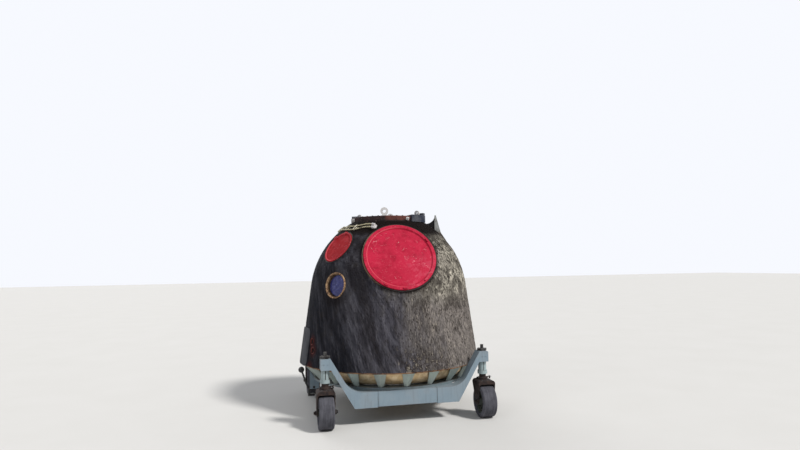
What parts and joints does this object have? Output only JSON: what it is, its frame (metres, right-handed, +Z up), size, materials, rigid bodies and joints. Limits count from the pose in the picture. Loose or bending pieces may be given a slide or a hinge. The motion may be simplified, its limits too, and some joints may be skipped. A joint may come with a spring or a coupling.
{
  "type": "crew return capsule on a transport dolly",
  "caption": "Bell-shaped scorched descent capsule with round red bay covers, standing on a cranked steel dolly with swivelling casters.",
  "frame": {"origin": "on the floor below the capsule's axis", "axes": "+Z up, the dolly's front frame and the large bay cover towards -Y, +X to the right seen from the front"},
  "size_m": [2.2469, 2.2079, 2.3949],
  "materials": {
    "scorched_hull": "charred",
    "edge_metal": "burnt",
    "dish_skin": "matte",
    "ring_metal": "burnt",
    "lid_metal": "satin",
    "red_cover": "semi-gloss",
    "bay_edge": "matte",
    "porthole_ring": "burnt",
    "porthole_glass": "clear",
    "thruster": "burnt",
    "fairing": "matte",
    "eye_white": "matte",
    "fin_metal": "satin",
    "floor_paint": "matte",
    "couch_fabric": "woven",
    "dolly_paint": "satin",
    "collar_white": "satin",
    "black_knob": "matte",
    "fork_brown": "rusted",
    "tyre_rubber": "worn",
    "hub_green": "painted",
    "block_blue": "satin",
    "riser_rope": "braided",
    "anchor_metal": "matte"
  },
  "bodies": {
    "capsule_on_dolly": {"hull_lower": "scorched_hull", "hull_shoulder": "scorched_hull", "hull_edge": "edge_metal", "bottom_dish": "dish_skin", "engine_covers": "dish_skin", "cabin_floor": "floor_paint", "hatch_ring": "ring_metal", "main_parachute_bay": "bay_edge", "main_parachute_lid": "red_cover", "reserve_parachute_bay": "bay_edge", "reserve_parachute_lid": "red_cover", "porthole_ring_left": "porthole_ring", "porthole_glass_left": "porthole_glass", "porthole_ring_rear": "porthole_ring", "porthole_glass_rear": "porthole_glass", "thrusters_left": "thruster", "thrusters_rear": "thruster", "connector_fairing": "fairing", "lifting_eyes": "eye_white", "eye_blocks": "block_blue", "aerial_fin": "fin_metal", "riser_rope_upper": "riser_rope", "riser_rope_lower": "riser_rope", "rope_anchors": "anchor_metal", "couch_left": "couch_fabric", "couch_middle": "couch_fabric", "couch_right": "couch_fabric", "front_frame": "dolly_paint", "rear_frame": "dolly_paint", "side_rail_left": "dolly_paint", "side_rail_right": "dolly_paint", "support_ring": "dolly_paint", "ring_brackets": "dolly_paint", "clamp_yokes": "dolly_paint", "clamp_levers": "black_knob", "post_sleeves": "collar_white", "post_knobs": "black_knob"},
    "hatch": {"hatch_lid": "lid_metal"},
    "caster_front_left": {"fork_front_left": "fork_brown"},
    "wheel_front_left": {"tyre_front_left": "tyre_rubber", "hub_front_left": "hub_green"},
    "caster_front_right": {"fork_front_right": "fork_brown"},
    "wheel_front_right": {"tyre_front_right": "tyre_rubber", "hub_front_right": "hub_green"},
    "caster_rear_left": {"fork_rear_left": "fork_brown"},
    "wheel_rear_left": {"tyre_rear_left": "tyre_rubber", "hub_rear_left": "hub_green"},
    "caster_rear_right": {"fork_rear_right": "fork_brown"},
    "wheel_rear_right": {"tyre_rear_right": "tyre_rubber", "hub_rear_right": "hub_green"}
  },
  "joints": [
    {"name": "hatch_hinge", "type": "hinge", "parent": "capsule_on_dolly", "child": "hatch", "pos_m": [0, 0.438, 2.139], "axis": [1, 0, 0], "range_deg": [0, 90]},
    {"name": "swivel_front_left", "type": "hinge", "parent": "capsule_on_dolly", "child": "caster_front_left", "pos_m": [-0.88803, -0.88, 0.404], "axis": [0, 0, 1], "continuous": true},
    {"name": "roll_front_left", "type": "hinge", "parent": "caster_front_left", "child": "wheel_front_left", "pos_m": [-0.88803, -0.943, 0.175], "axis": [1, 0, 0], "continuous": true},
    {"name": "swivel_front_right", "type": "hinge", "parent": "capsule_on_dolly", "child": "caster_front_right", "pos_m": [0.88803, -0.88, 0.404], "axis": [0, 0, 1], "continuous": true},
    {"name": "roll_front_right", "type": "hinge", "parent": "caster_front_right", "child": "wheel_front_right", "pos_m": [0.88803, -0.943, 0.175], "axis": [1, 0, 0], "continuous": true},
    {"name": "swivel_rear_left", "type": "hinge", "parent": "capsule_on_dolly", "child": "caster_rear_left", "pos_m": [-0.88803, 0.88, 0.404], "axis": [0, 0, 1], "continuous": true},
    {"name": "roll_rear_left", "type": "hinge", "parent": "caster_rear_left", "child": "wheel_rear_left", "pos_m": [-0.88803, 0.817, 0.175], "axis": [1, 0, 0], "continuous": true},
    {"name": "swivel_rear_right", "type": "hinge", "parent": "capsule_on_dolly", "child": "caster_rear_right", "pos_m": [0.88803, 0.88, 0.404], "axis": [0, 0, 1], "continuous": true},
    {"name": "roll_rear_right", "type": "hinge", "parent": "caster_rear_right", "child": "wheel_rear_right", "pos_m": [0.88803, 0.817, 0.175], "axis": [1, 0, 0], "continuous": true}
  ]
}
